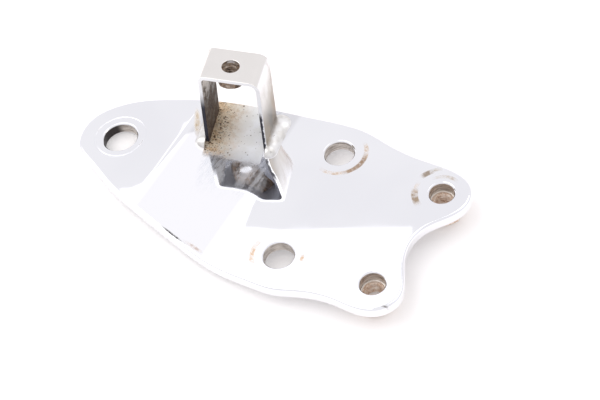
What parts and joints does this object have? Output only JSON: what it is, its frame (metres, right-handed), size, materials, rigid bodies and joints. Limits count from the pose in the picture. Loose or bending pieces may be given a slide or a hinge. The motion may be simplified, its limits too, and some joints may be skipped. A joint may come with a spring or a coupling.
{
  "type": "footrest hanger",
  "caption": "Chromed footrest hanger plate: stepped leaf-shaped steel plate with mounting bores, threaded end holes and a welded U bracket with a weld nut.",
  "frame": {"origin": "centre of the rear middle bore, on the underside of the main panel", "axes": "+X along the plate from the tab toward the two end holes, +Y to the plate's rear edge, +Z away from the underside, to the side that the U bracket stands on"},
  "size_m": [0.1487, 0.0767, 0.0466],
  "materials": {
    "plate_chrome": "bright chrome plate with small rust marks",
    "bracket_chrome": "chrome plate, rust-speckled inside",
    "nut_steel": "rusty plain steel",
    "weld_chrome": "rippled weld under chrome plate, yellowed"
  },
  "bodies": {
    "root": {"main_plate": "plate_chrome", "u_bracket": "bracket_chrome", "bracket_nut": "nut_steel", "rear_end_nut": "nut_steel", "front_end_nut": "nut_steel", "left_weld_bead": "weld_chrome", "right_weld_bead": "weld_chrome"}
  },
  "joints": []
}
